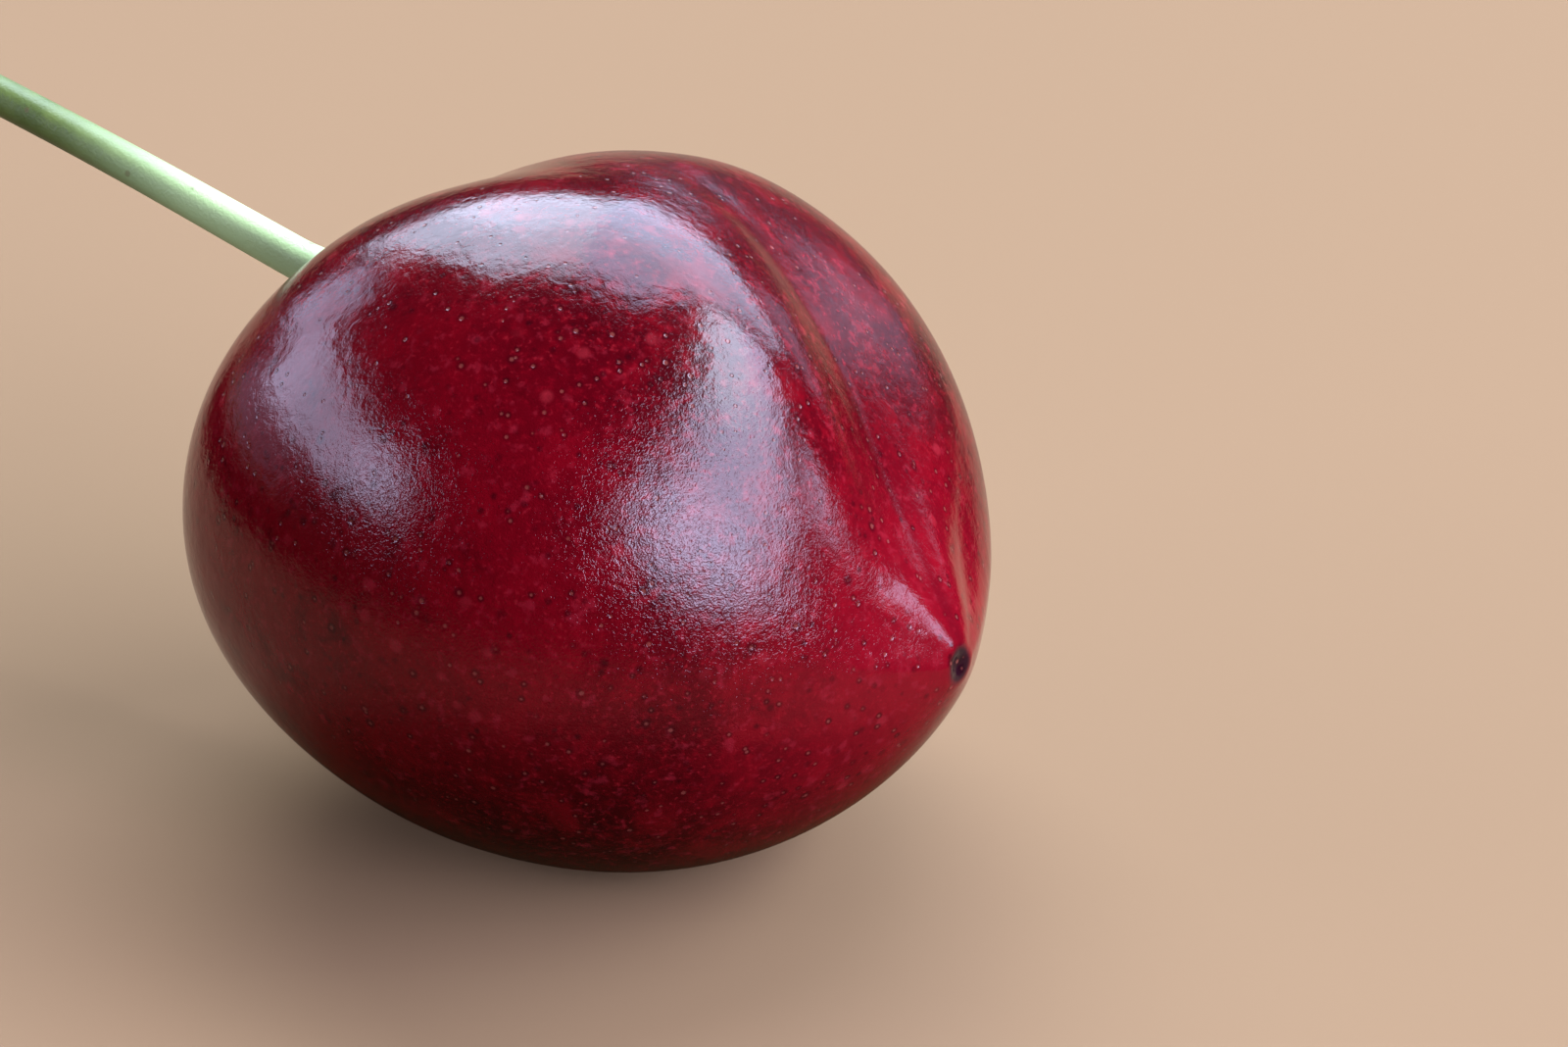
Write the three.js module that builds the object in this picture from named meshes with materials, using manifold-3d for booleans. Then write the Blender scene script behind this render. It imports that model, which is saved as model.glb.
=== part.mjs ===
// A sweet cherry with its stem, lying on its side with the suture uppermost.
//
// Two pieces: the fruit, one solid with its stem cavity, suture groove, pointed tip and stylar
// scar, and the stem, which stands in a shallow socket in the floor of the cavity.
// Units are millimetres and +Z is up. The origin is the middle of the flat spot that the fruit
// rests on, and seen from -Y the stem leaves to the left and away from the viewer.

import * as THREE from 'three';
import { mergeVertices } from 'three/addons/utils/BufferGeometryUtils.js';
import Module from 'manifold-3d';

// ---------------------------------------------------------------- driving dimensions

// The fruit in its own frame: z runs from the tip to the stem end, x from the middle to the
// suture, y across the cheeks.
const SUTURE_HALF = 11.45;        // from the middle to the skin on the suture's side
const BACK_HALF = 10.95;          // from the middle to the skin on the back
const CHEEK_HALF = 12.7;          // half the width across the cheeks
const SHOULDER_HEIGHT = 12.2;     // from the middle up to the shoulders
const TIP_HEIGHT = 12.45;         // from the middle down to the tip, without its beak
const SHOULDER_FULLNESS = 0.6;    // power on the sine above the middle: under 1 is squarer
const TIP_TAPER = 1.42;           // power on the sine below the middle: over 1 is more pointed
const BEAK_HEIGHT = 0.42;         // small extra point at the tip
const BEAK_RADIUS = 3.0;
const TIP_LEAN = 2.0;             // how far the tip leans towards the back

// The suture's side of every section is a little flattened, more sharply on its near side, but
// not where the shoulders turn in to the cavity.
const FACE_DEPTH = 0.64;
const FACE_CENTRE = 0.35;
const FACE_RADII = [3.4, 7.9];    // on either side of the centre
const FACE_FADES = 0.6;           // share of the way from the middle to the shoulders
const FACE_IS_GONE = 0.85;

// The hollow that the stem grows out of, nearer to the suture than to the back.
const CAVITY_DEPTH = 3.3;
const CAVITY_RADIUS = 4.4;
const CAVITY_OFFSET = 5.2;        // from the fruit's axis towards the suture

// The suture: a valley and a fine crease, which both deepen over the half by the tip and run
// out smoothly at the tip itself. Their lines sway across the fruit: the distance from the
// middle plane is a square law in the height along the axis.
const VALLEY_DEPTH = 1.1;
const VALLEY_RADII = [3.45, 4.9]; // on either side of its line
const VALLEY_RUN_OUT = 3.5;
const VALLEY_SPAN = [-0.06, 0.5]; // where it starts and is full, as shares of the way to the tip
const VALLEY_LINE = [4.2, 0.3, -2.3];
const CREASE_DEPTH = 0.08;
const CREASE_RADIUS = 0.8;
const CREASE_RUN_OUT = 1.2;
const CREASE_SPAN = [-0.2, 0.3];
const CREASE_LINE = [2.0, 0.85, -0.55];

// The stylar scar at the tip: a small pit with a raised rim.
const SCAR_PIT_DEPTH = 0.2;
const SCAR_PIT_RADIUS = 0.38;
const SCAR_RIM_HEIGHT = 0.06;
const SCAR_RIM_RADIUS = 0.6;

// How the fruit lies.
const AXIS_TURN = 146.0;          // compass of the stem end, degrees from +X towards +Y
const AXIS_RISE = -2.2;           // degrees that the stem end is above level
const ROLL = 7.9;                 // degrees that the suture is turned off the top
const REST_FLAT_DEPTH = 0.35;     // how much of the round underside the flat spot takes off

// The stem: it stands in the cavity, bends a little as it clears the shoulder, then runs
// straight and droops slightly towards its far end.
const STEM_RADIUS = 0.61;
const STEM_FOOT_RADIUS = 1.0;     // flared end that stands in the fruit
const STEM_KNOB_RADIUS = 1.15;    // thickened end that came off the spur
const STEM_BEND = [-10.05, 7.67, 4.85];  // from the fruit's middle to where the stem clears it
const STEM_TURN = 144.5;          // compass of the straight part, degrees from +X towards +Y
const STEM_RISE = 12;             // degrees that the straight part climbs
const STEM_FREE_LENGTH = 37;      // from the bend to the far end
const STEM_DROOP = 4;             // how far the far end hangs below the straight line
const SOCKET_DEPTH = 0.9;         // of the hole in the cavity's floor
const STEM_GAP = 0.3;             // clearance between the stem and the fruit

// How finely the surfaces are cut into flat faces.
const FRUIT_ROWS = 50;
const ROW_CROWDING = 0.5;         // draws the rows together towards the stem end and the tip
const FRUIT_COLUMNS = 88;
const COLUMN_CROWDING = 0.55;     // draws the columns together along the suture
const STEM_SIDES = 14;
const STEM_STEPS = 44;

// ---------------------------------------------------------------- the fruit's skin

// How the fruit lies: the columns of the turn are the suture, cheek and stem-end directions.
function fruitPose() {
  const turn = THREE.MathUtils.degToRad(AXIS_TURN);
  const rise = THREE.MathUtils.degToRad(AXIS_RISE);
  const roll = THREE.MathUtils.degToRad(ROLL);
  const axis = new THREE.Vector3(
    Math.cos(turn) * Math.cos(rise), Math.sin(turn) * Math.cos(rise), Math.sin(rise));
  const level = new THREE.Vector3().crossVectors(axis, new THREE.Vector3(0, 0, 1)).normalize();
  const top = new THREE.Vector3().crossVectors(level, axis);
  const suture = top.multiplyScalar(Math.cos(roll)).addScaledVector(level, Math.sin(roll));
  const cheek = new THREE.Vector3().crossVectors(axis, suture);
  return new THREE.Matrix4().makeBasis(suture, cheek, axis);
}

const bell = (distance, radius) => Math.exp(-((distance / radius) ** 2));

const { smoothstep } = THREE.MathUtils;

// A point of the plain heart shape: a squared-off ellipsoid with one flattened side, pressed in
// at the cavity and drawn out at the tip.
function heartPoint(along, sine, azimuth) {
  const towardsTip = along < 0;
  const shape = towardsTip ? TIP_TAPER : SHOULDER_FULLNESS;
  const spread = sine ** (1 + (shape - 1) * Math.abs(along));
  const facing = Math.cos(azimuth);
  const cheek = CHEEK_HALF * Math.sin(azimuth);
  const thickness = BACK_HALF + (SUTURE_HALF - BACK_HALF) * (0.5 + 0.5 * facing);
  const faceRadius = FACE_RADII[cheek < FACE_CENTRE ? 0 : 1];
  const flattening = FACE_DEPTH * bell(cheek - FACE_CENTRE, faceRadius)
    * smoothstep(facing, 0, 0.8) * (1 - smoothstep(along, FACE_FADES, FACE_IS_GONE));
  const point = new THREE.Vector3(
    spread * (thickness * facing - flattening),
    spread * cheek,
    (towardsTip ? TIP_HEIGHT : SHOULDER_HEIGHT) * along);

  const fromCavity = Math.hypot(point.x - CAVITY_OFFSET, point.y);
  point.z -= CAVITY_DEPTH * bell(fromCavity, CAVITY_RADIUS) * smoothstep(along, 0, 0.5);
  if (towardsTip) {
    point.z -= BEAK_HEIGHT * bell(Math.hypot(point.x, point.y), BEAK_RADIUS);
  }
  return point;
}

// How deep the suture is at a point: the valley and the crease, each a bell across its line.
function sutureDepth(point, along, sine, azimuth) {
  const fromLine = (line) => point.y - (line[0] + line[1] * along + line[2] * along * along) * sine;
  const fromAxis = Math.hypot(point.x, point.y);
  const across = fromLine(VALLEY_LINE);
  const valley = VALLEY_DEPTH * bell(across, VALLEY_RADII[across < 0 ? 0 : 1])
    * smoothstep(-along, ...VALLEY_SPAN) * (1 - bell(fromAxis, VALLEY_RUN_OUT));
  const crease = CREASE_DEPTH * bell(fromLine(CREASE_LINE), CREASE_RADIUS)
    * smoothstep(-along, ...CREASE_SPAN) * (1 - bell(fromAxis, CREASE_RUN_OUT));
  return (valley + crease) * smoothstep(Math.cos(azimuth), 0, 0.6);
}

// A point of the skin. polar runs from 0 at the stem end to pi at the tip, and azimuth is 0
// along the suture.
function skinPoint(polar, azimuth) {
  const along = Math.cos(polar);
  const sine = Math.max(Math.sin(polar), 0);
  const point = heartPoint(along, sine, azimuth);
  const fromAxis = Math.hypot(point.x, point.y);
  const outward = point.clone().normalize();
  point.addScaledVector(outward, -sutureDepth(point, along, sine, azimuth));
  if (along < 0) {
    const rim = SCAR_RIM_HEIGHT * bell(fromAxis - SCAR_RIM_RADIUS, SCAR_PIT_RADIUS);
    point.z += SCAR_PIT_DEPTH * bell(fromAxis, SCAR_PIT_RADIUS) - rim;
    point.x -= TIP_LEAN * along * along;
  }
  return point;
}

// A closed surface from rings of points between two end points. The rings run from the first
// end to the last, and turn anticlockwise seen from outside the first end.
function closedRings(first, rings, last) {
  const points = [first, ...rings.flat(), last];
  const count = rings[0].length;
  const end = points.length - 1;
  const faces = [];
  for (let k = 0; k < count; k += 1) {
    const next = (k + 1) % count;
    faces.push(0, 1 + k, 1 + next);
    for (let ring = 0; ring + 1 < rings.length; ring += 1) {
      const here = 1 + ring * count;
      const below = here + count;
      faces.push(here + k, below + k, here + next);
      faces.push(here + next, below + k, below + next);
    }
    const bottom = 1 + (rings.length - 1) * count;
    faces.push(bottom + k, end, bottom + next);
  }
  const geometry = new THREE.BufferGeometry().setFromPoints(points);
  geometry.setIndex(faces);
  return geometry;
}

function skinGeometry() {
  const rings = [];
  for (let row = 1; row < FRUIT_ROWS; row += 1) {
    const even = (Math.PI * row) / FRUIT_ROWS;
    const crowded = (Math.PI * (1 - Math.cos(even))) / 2;
    const polar = (1 - ROW_CROWDING) * even + ROW_CROWDING * crowded;
    const ring = [];
    for (let column = 0; column < FRUIT_COLUMNS; column += 1) {
      const turn = (2 * Math.PI * column) / FRUIT_COLUMNS;
      ring.push(skinPoint(polar, turn - COLUMN_CROWDING * Math.sin(turn)));
    }
    rings.push(ring);
  }
  return closedRings(skinPoint(0, 0), rings, skinPoint(Math.PI, 0));
}

// ---------------------------------------------------------------- the stem

// The middle of the cavity's floor, found by halving the span of polar angles that holds it.
function cavityFloor() {
  let low = 0;
  let high = Math.PI / 3;
  while (high - low > 1e-5) {
    const middle = (low + high) / 2;
    if (skinPoint(middle, 0).x < CAVITY_OFFSET) {
      low = middle;
    } else {
      high = middle;
    }
  }
  return skinPoint(low, 0).applyMatrix4(pose);
}

// The stem's centre line: a short bend out of the socket, then the long free part. The free
// part's first three control points lie on one line, so that it starts straight.
function stemRoute(foot) {
  const turn = THREE.MathUtils.degToRad(STEM_TURN);
  const rise = THREE.MathUtils.degToRad(STEM_RISE);
  const along = new THREE.Vector3(
    Math.cos(turn) * Math.cos(rise), Math.sin(turn) * Math.cos(rise), Math.sin(rise));
  const bend = new THREE.Vector3(...STEM_BEND);
  const reach = bend.distanceTo(foot) / 3;
  const onLine = (share) => bend.clone().addScaledVector(along, share * STEM_FREE_LENGTH);
  const end = onLine(1);
  end.z -= STEM_DROOP;

  const route = new THREE.CurvePath();
  route.add(new THREE.CubicBezierCurve3(
    foot,
    foot.clone().addScaledVector(fruitAxis, reach),
    bend.clone().addScaledVector(along, -reach),
    bend));
  route.add(new THREE.CubicBezierCurve3(bend, onLine(1 / 3), onLine(2 / 3), end));
  return route;
}

// The stem's radius at a distance from its foot: a flare at the foot, a slim shaft and a
// rounded knob at the far end.
function stemRadius(distance, length) {
  const flare = (STEM_FOOT_RADIUS - STEM_RADIUS) * bell(distance, 1.1);
  const towardsFruit = 0.07 * bell(distance, 9);
  const swelling = (STEM_KNOB_RADIUS - STEM_RADIUS) * bell(length - distance - 1, 2.2);
  return STEM_RADIUS + flare + towardsFruit + swelling;
}

// Rings of points around the route, with both ends rounded over by a short quarter round.
function stemGeometry(route) {
  const length = route.getLength();
  const rounding = 0.5;
  const side = new THREE.Vector3();
  const rings = [];
  let tangent = route.getTangentAt(0);
  side.crossVectors(tangent, new THREE.Vector3(0, 0, 1)).normalize();
  for (let step = 0; step < STEM_STEPS; step += 1) {
    const share = (1 - Math.cos((Math.PI * (step + 0.5)) / STEM_STEPS)) / 2;
    tangent = route.getTangentAt(share);
    side.addScaledVector(tangent, -side.dot(tangent)).normalize();
    const up = new THREE.Vector3().crossVectors(side, tangent);
    const centre = route.getPointAt(share);
    const distance = share * length;
    const fromEnd = Math.min(distance, length - distance, rounding) / rounding;
    const radius = stemRadius(distance, length) * (0.55 + 0.45 * Math.sqrt(fromEnd * (2 - fromEnd)));
    const ring = [];
    for (let k = 0; k < STEM_SIDES; k += 1) {
      const angle = (2 * Math.PI * k) / STEM_SIDES;
      ring.push(centre.clone()
        .addScaledVector(side, radius * Math.cos(angle))
        .addScaledVector(up, radius * Math.sin(angle)));
    }
    rings.push(ring);
  }
  return closedRings(route.getPointAt(0), rings, route.getPointAt(1));
}

// ---------------------------------------------------------------- cutting the fruit

const wasm = await Module();
wasm.setup();

function solidFrom(geometry) {
  const bare = geometry.clone();
  bare.deleteAttribute('normal');
  bare.deleteAttribute('uv');
  const merged = mergeVertices(bare, 1e-5);
  return new wasm.Manifold(new wasm.Mesh({
    numProp: 3,
    vertProperties: new Float32Array(merged.attributes.position.array),
    triVerts: new Uint32Array(merged.index.array),
  }));
}

function geometryFrom(solid) {
  const mesh = solid.getMesh();
  const geometry = new THREE.BufferGeometry();
  geometry.setAttribute('position', new THREE.BufferAttribute(mesh.vertProperties, 3));
  geometry.setIndex(new THREE.BufferAttribute(mesh.triVerts, 1));
  return geometry;
}

// A plain round hole for the stem's foot, sunk along the fruit's axis into the cavity's floor.
function socketCutter(floor) {
  const above = 1.5;
  const radius = STEM_FOOT_RADIUS + STEM_GAP;
  const cutter = new THREE.CylinderGeometry(radius, radius, SOCKET_DEPTH + above, 24);
  const turn = new THREE.Quaternion().setFromUnitVectors(new THREE.Vector3(0, 1, 0), fruitAxis);
  cutter.applyQuaternion(turn);
  const middle = floor.clone().addScaledVector(fruitAxis, (above - SOCKET_DEPTH) / 2);
  cutter.translate(middle.x, middle.y, middle.z);
  return solidFrom(cutter);
}

// ---------------------------------------------------------------- the cherry

const pose = fruitPose();
const fruitAxis = new THREE.Vector3(0, 0, 1).applyMatrix4(pose);
const floor = cavityFloor();
const foot = floor.clone().addScaledVector(fruitAxis, STEM_GAP - SOCKET_DEPTH);

const whole = solidFrom(skinGeometry().applyMatrix4(pose)).subtract(socketCutter(floor));
const restHeight = whole.boundingBox().min[2] + REST_FLAT_DEPTH;
const fruitSolid = whole.trimByPlane([0, 0, 1], restHeight);
const spot = whole.slice(restHeight).bounds();
const spotMiddle = new THREE.Vector3(
  (spot.min[0] + spot.max[0]) / 2, (spot.min[1] + spot.max[1]) / 2, restHeight);

const fruit = new THREE.Mesh(
  geometryFrom(fruitSolid).translate(-spotMiddle.x, -spotMiddle.y, -spotMiddle.z),
  new THREE.MeshStandardMaterial({ color: 0x7a1420, roughness: 0.25, metalness: 0 }));
fruit.name = 'fruit';

const stem = new THREE.Mesh(
  stemGeometry(stemRoute(foot)).translate(-spotMiddle.x, -spotMiddle.y, -spotMiddle.z),
  new THREE.MeshStandardMaterial({ color: 0x93a36a, roughness: 0.6, metalness: 0 }));
stem.name = 'stem';

const cherry = new THREE.Group();
cherry.add(fruit, stem);

export default cherry;
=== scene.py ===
# %% [markdown]
# # A sweet cherry on its side
#
# The real object is a ripe sweet cherry with its stem. It has two pieces: the fruit, which is
# heart shaped, with a hollow where the stem stands, a groove called the suture along one side
# and a small scar at its tip; and the stem, a slim green stalk.
#
# Both are smooth forms with no flat sides, so each is worked out as a formula over a grid of two
# parameters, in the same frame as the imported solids. The colours and the fine relief that a mesh
# is too coarse to hold come from procedural materials.

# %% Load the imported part
import math

import bpy
import numpy as np
from mathutils import Matrix, Quaternion, Vector


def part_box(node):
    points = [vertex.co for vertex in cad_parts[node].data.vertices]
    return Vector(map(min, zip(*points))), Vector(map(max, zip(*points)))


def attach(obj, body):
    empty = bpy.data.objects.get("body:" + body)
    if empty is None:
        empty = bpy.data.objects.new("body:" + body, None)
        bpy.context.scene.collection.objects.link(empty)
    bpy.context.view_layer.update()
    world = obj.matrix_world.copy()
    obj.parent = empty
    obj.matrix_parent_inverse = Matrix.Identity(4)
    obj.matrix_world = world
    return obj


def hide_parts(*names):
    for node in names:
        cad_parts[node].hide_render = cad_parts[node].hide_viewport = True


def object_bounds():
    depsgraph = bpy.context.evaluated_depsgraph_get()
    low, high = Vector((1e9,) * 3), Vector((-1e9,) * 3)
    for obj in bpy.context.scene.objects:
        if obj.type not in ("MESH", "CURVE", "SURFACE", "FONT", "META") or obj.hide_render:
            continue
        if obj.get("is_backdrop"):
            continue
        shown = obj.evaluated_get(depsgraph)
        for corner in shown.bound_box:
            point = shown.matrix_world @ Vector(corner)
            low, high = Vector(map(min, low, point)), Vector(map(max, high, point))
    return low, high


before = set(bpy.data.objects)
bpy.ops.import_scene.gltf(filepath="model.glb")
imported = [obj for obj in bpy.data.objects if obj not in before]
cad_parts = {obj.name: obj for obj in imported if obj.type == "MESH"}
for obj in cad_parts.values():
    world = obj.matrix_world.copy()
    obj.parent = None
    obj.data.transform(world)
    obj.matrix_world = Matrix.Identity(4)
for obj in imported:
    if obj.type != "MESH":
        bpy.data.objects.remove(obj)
cad_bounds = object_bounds()
MM = 0.001
fruit_low, fruit_high = (np.array(corner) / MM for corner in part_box("fruit"))
print("the packed fruit spans", np.round(fruit_low, 2), "to", np.round(fruit_high, 2), "mm")

# %% [markdown]
# ## The skin of the fruit
#
# The skin could be sculpted, or lofted from sections. A formula is easier to check: it starts
# from an ellipsoid, squares off its shoulders, draws out its tip, presses in the stem cavity and
# the suture, and leans the tip back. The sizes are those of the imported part, in millimetres: z
# runs from the tip to the stem end, x from the middle to the suture, and y across the cheeks.
#
# A SPAN says where a form starts and where it is full, as shares of the way from the middle to
# its own end. TURNS says the same as cosines of the angle from the suture. A pair of RADII is
# for a form's two sides, and a LINE holds the three numbers of a square law.

# %% Sizes of the fruit
SUTURE_HALF = 11.45
BACK_HALF = 10.95
CHEEK_HALF = 12.7
SHOULDER_HEIGHT = 12.2
TIP_HEIGHT = 12.45
SHOULDER_FULLNESS = 0.6
TIP_TAPER = 1.42
BEAK_HEIGHT = 0.42
BEAK_RADIUS = 3.0
TIP_LEAN = 2.0
FACE_DEPTH = 0.64
FACE_CENTRE = 0.35
FACE_RADII = (3.4, 7.9)
FACE_TURNS = (0, 0.8)
FACE_FADES = 0.6
FACE_IS_GONE = 0.85
CAVITY_DEPTH = 3.3
CAVITY_RADIUS = 4.4
CAVITY_OFFSET = 5.2
CAVITY_SPAN = (0, 0.5)
SUTURE_TURNS = (0, 0.6)
VALLEY_DEPTH = 1.1
VALLEY_RADII = (3.45, 4.9)
VALLEY_RUN_OUT = 3.5
VALLEY_SPAN = (-0.06, 0.5)
VALLEY_LINE = (4.2, 0.3, -2.3)
CREASE_DEPTH = 0.08
CREASE_RADIUS = 0.8
CREASE_RUN_OUT = 1.2
CREASE_SPAN = (-0.2, 0.3)
CREASE_LINE = (2.0, 0.85, -0.55)
FAR_FROM_CREASE = 9
SCAR_PIT_DEPTH = 0.2
SCAR_PIT_RADIUS = 0.38
SCAR_RIM_HEIGHT = 0.06
SCAR_RIM_RADIUS = 0.6
print("the plain heart is", 2 * CHEEK_HALF, "mm wide and", SUTURE_HALF + BACK_HALF, "mm thick")


# %% The skin as a formula
def bell(distance, radius):
    """A smooth bump: 1 at distance 0, falling to about a third at the radius."""
    return np.exp(-((distance / radius) ** 2))


def smooth_step(value, low, high):
    """0 below low, 1 above high, and a smooth S between them."""
    share = np.clip((value - low) / (high - low), 0, 1)
    return share * share * (3 - 2 * share)


def heart(along, sine, azimuth):
    """Points of the plain heart shape, as an array of x, y and z.

    The sine of the polar angle, raised to a power that changes along the fruit, times the half
    widths gives x and y, and its cosine times the height gives z. One side is flattened, and
    bell-shaped terms press in the cavity and draw out the tip.
    """
    towards_tip = along < 0
    shape = np.where(towards_tip, TIP_TAPER, SHOULDER_FULLNESS)
    spread = sine ** (1 + (shape - 1) * np.abs(along))
    facing = np.cos(azimuth)
    cheek = CHEEK_HALF * np.sin(azimuth)
    thickness = BACK_HALF + (SUTURE_HALF - BACK_HALF) * (0.5 + 0.5 * facing)
    face_radius = np.where(cheek < FACE_CENTRE, FACE_RADII[0], FACE_RADII[1])
    flattening = FACE_DEPTH * bell(cheek - FACE_CENTRE, face_radius)
    flattening = flattening * smooth_step(facing, *FACE_TURNS)
    flattening = flattening * (1 - smooth_step(along, FACE_FADES, FACE_IS_GONE))
    x = spread * (thickness * facing - flattening)
    y = spread * cheek
    z = np.where(towards_tip, TIP_HEIGHT, SHOULDER_HEIGHT) * along
    hollow = CAVITY_DEPTH * bell(np.hypot(x - CAVITY_OFFSET, y), CAVITY_RADIUS)
    z = z - hollow * smooth_step(along, *CAVITY_SPAN)
    z = z - towards_tip * BEAK_HEIGHT * bell(np.hypot(x, y), BEAK_RADIUS)
    return np.stack([x, y, z], -1)


def distance_from_line(points, line, along, sine):
    """How far across the fruit a point is from a line whose sway is a square law in along."""
    return points[..., 1] - (line[0] + line[1] * along + line[2] * along**2) * sine


def skin(polar, azimuth):
    """Points of the skin, in the fruit's own frame, and their distances from the crease.

    polar runs from 0 at the stem end to pi at the tip, and azimuth is 0 along the suture. The
    suture's valley and crease are pressed in towards the middle, each a bell across its line.
    Then the scar is sunk and the tip leans back by a share that grows as the square of along.
    Where the suture doesn't run, the distance is made too long for the crease's painted shade to show.
    """
    polar, azimuth = np.broadcast_arrays(polar, azimuth)
    along = np.cos(polar)
    sine = np.maximum(np.sin(polar), 0)
    points = heart(along, sine, azimuth)
    from_axis = np.hypot(points[..., 0], points[..., 1])
    outward = points / np.linalg.norm(points, axis=-1, keepdims=True)

    facing = smooth_step(np.cos(azimuth), *SUTURE_TURNS)
    from_valley = distance_from_line(points, VALLEY_LINE, along, sine)
    from_crease = distance_from_line(points, CREASE_LINE, along, sine)
    valley_radius = np.where(from_valley < 0, VALLEY_RADII[0], VALLEY_RADII[1])
    valley = bell(from_valley, valley_radius) * (1 - bell(from_axis, VALLEY_RUN_OUT))
    valley_depth = VALLEY_DEPTH * smooth_step(-along, *VALLEY_SPAN)
    crease = bell(from_crease, CREASE_RADIUS) * (1 - bell(from_axis, CREASE_RUN_OUT))
    crease_depth = CREASE_DEPTH * smooth_step(-along, *CREASE_SPAN)
    depth = facing * (valley_depth * valley + crease_depth * crease)
    points = points - outward * depth[..., None]

    towards_tip = along < 0
    rim = SCAR_RIM_HEIGHT * bell(from_axis - SCAR_RIM_RADIUS, SCAR_PIT_RADIUS)
    points[..., 2] += towards_tip * (SCAR_PIT_DEPTH * bell(from_axis, SCAR_PIT_RADIUS) - rim)
    points[..., 0] -= towards_tip * TIP_LEAN * along**2
    off_line = FAR_FROM_CREASE * (1 - facing * smooth_step(-along, *CREASE_SPAN))
    return points, np.abs(from_crease) + off_line


# %% [markdown]
# ## How the fruit lies
#
# The fruit lies on its back with the suture near the top. Three angles give its pose, and the
# packed fruit's box gives its place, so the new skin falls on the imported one. What would sink
# below the floor is pressed flat there, as a soft fruit is, and is the spot that it rests on. It
# could be cut off with a Boolean, but pressing keeps the rings of the grid whole.

# %% Pose and place
AXIS_TURN = math.radians(146.0)
AXIS_RISE = math.radians(-2.2)
ROLL = math.radians(7.9)


def direction(turn, rise):
    """The unit vector at a compass turn from +X towards +Y and a rise above level."""
    return np.array(
        [math.cos(turn) * math.cos(rise), math.sin(turn) * math.cos(rise), math.sin(rise)]
    )


stem_end = direction(AXIS_TURN, AXIS_RISE)
level = np.cross(stem_end, (0, 0, 1))
level /= np.linalg.norm(level)
suture_way = math.cos(ROLL) * np.cross(level, stem_end) + math.sin(ROLL) * level
cheek_way = np.cross(stem_end, suture_way)
pose = np.stack([suture_way, cheek_way, stem_end])
print("the stem end points along", np.round(stem_end, 3))
print("the suture faces", np.round(suture_way, 3))


# %% Place the skin
SKIN_ROWS, SKIN_COLUMNS = 250, 380
ROW_CROWDING = 0.5
COLUMN_CROWDING = 0.55


def grid_angles(rows, columns):
    """Polar angles of the rings between the two ends, and azimuths round a ring.

    The polar angle is a mean of an even one and one whose cosine is even, so the rings crowd at
    both ends. A sine taken off the azimuth crowds the columns at the suture.
    """
    even = np.pi * np.arange(1, rows) / rows
    crowded = np.pi * (1 - np.cos(even)) / 2
    polar = (1 - ROW_CROWDING) * even + ROW_CROWDING * crowded
    turn = 2 * np.pi * np.arange(columns) / columns
    return polar, turn - COLUMN_CROWDING * np.sin(turn)


polar, azimuth = grid_angles(SKIN_ROWS, SKIN_COLUMNS)
skin_rings, crease_rings = skin(polar[:, None], azimuth[None])
skin_ends, crease_ends = skin(np.array([0, np.pi]), np.array([0, 0]))
skin_rings = skin_rings @ pose
skin_ends = skin_ends @ pose
own_low = skin_rings.min((0, 1))
own_high = skin_rings.max((0, 1))
middle = (fruit_low + fruit_high - own_low - own_high) / 2
middle[2] = fruit_high[2] - own_high[2]
print("the fruit's middle is at", np.round(middle, 2), "mm")
print("its widths differ by", np.round(own_high - own_low - (fruit_high - fruit_low), 3), "mm")


# %% [markdown]
# ## From a grid of points to a mesh
#
# Both pieces are rings of points with one more point at each end. Each ring joins to the next
# with four-sided faces, and a fan of triangles closes each end, so no hole or seam is left.

# %% Mesh helper
def closed_mesh(name, first, rings, last):
    """A mesh object from rings of points in millimetres, with a point beyond each end.

    Points are numbered ring after ring. A face joins a point, the same one of the next ring and
    their two neighbours. The rings turn anticlockwise seen from outside the first end, so that
    every face looks outwards.
    """
    count, sides = rings.shape[:2]
    points = np.concatenate([[first], rings.reshape(-1, 3), [last]]) * MM
    here = 1 + np.arange(count * sides).reshape(count, sides)
    beside = np.roll(here, -1, axis=1)
    quads = np.stack([here[:-1], here[1:], beside[1:], beside[:-1]], -1).reshape(-1, 4)
    top = np.stack([np.zeros(sides, int), here[0], beside[0]], -1)
    bottom = np.stack([here[-1], np.full(sides, len(points) - 1), beside[-1]], -1)
    mesh = bpy.data.meshes.new(name)
    mesh.from_pydata(points.tolist(), [], quads.tolist() + top.tolist() + bottom.tolist())
    mesh.polygons.foreach_set("use_smooth", np.ones(len(mesh.polygons), bool))
    mesh.update()
    piece = bpy.data.objects.new(name, mesh)
    bpy.context.scene.collection.objects.link(piece)
    print(name, "has", len(points), "points and", 2 * len(quads) + 2 * sides, "triangles")
    return piece


# %% Build the fruit
skin_rings = skin_rings + middle
skin_ends = skin_ends + middle
skin_rings[..., 2] = np.maximum(skin_rings[..., 2], 0)
fruit = closed_mesh("cherry_fruit", skin_ends[0], skin_rings, skin_ends[1])
crease_distance = fruit.data.attributes.new("crease_distance", "FLOAT", "POINT")
crease_values = np.concatenate([crease_ends[:1], crease_rings.ravel(), crease_ends[1:]])
crease_distance.data.foreach_set("value", crease_values.astype(np.float32))
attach(fruit, "root")
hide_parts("fruit")

# %% [markdown]
# ## The stem
#
# The stem stands in the cavity, bends a little as it clears the shoulder, runs straight and
# droops slightly towards its far end. It could be a curve object with a bevel. A profile carried
# along the path is used here, because its radius swells at both ends and its shaft has ribs. Its
# places are measured from the fruit's middle.

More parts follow.
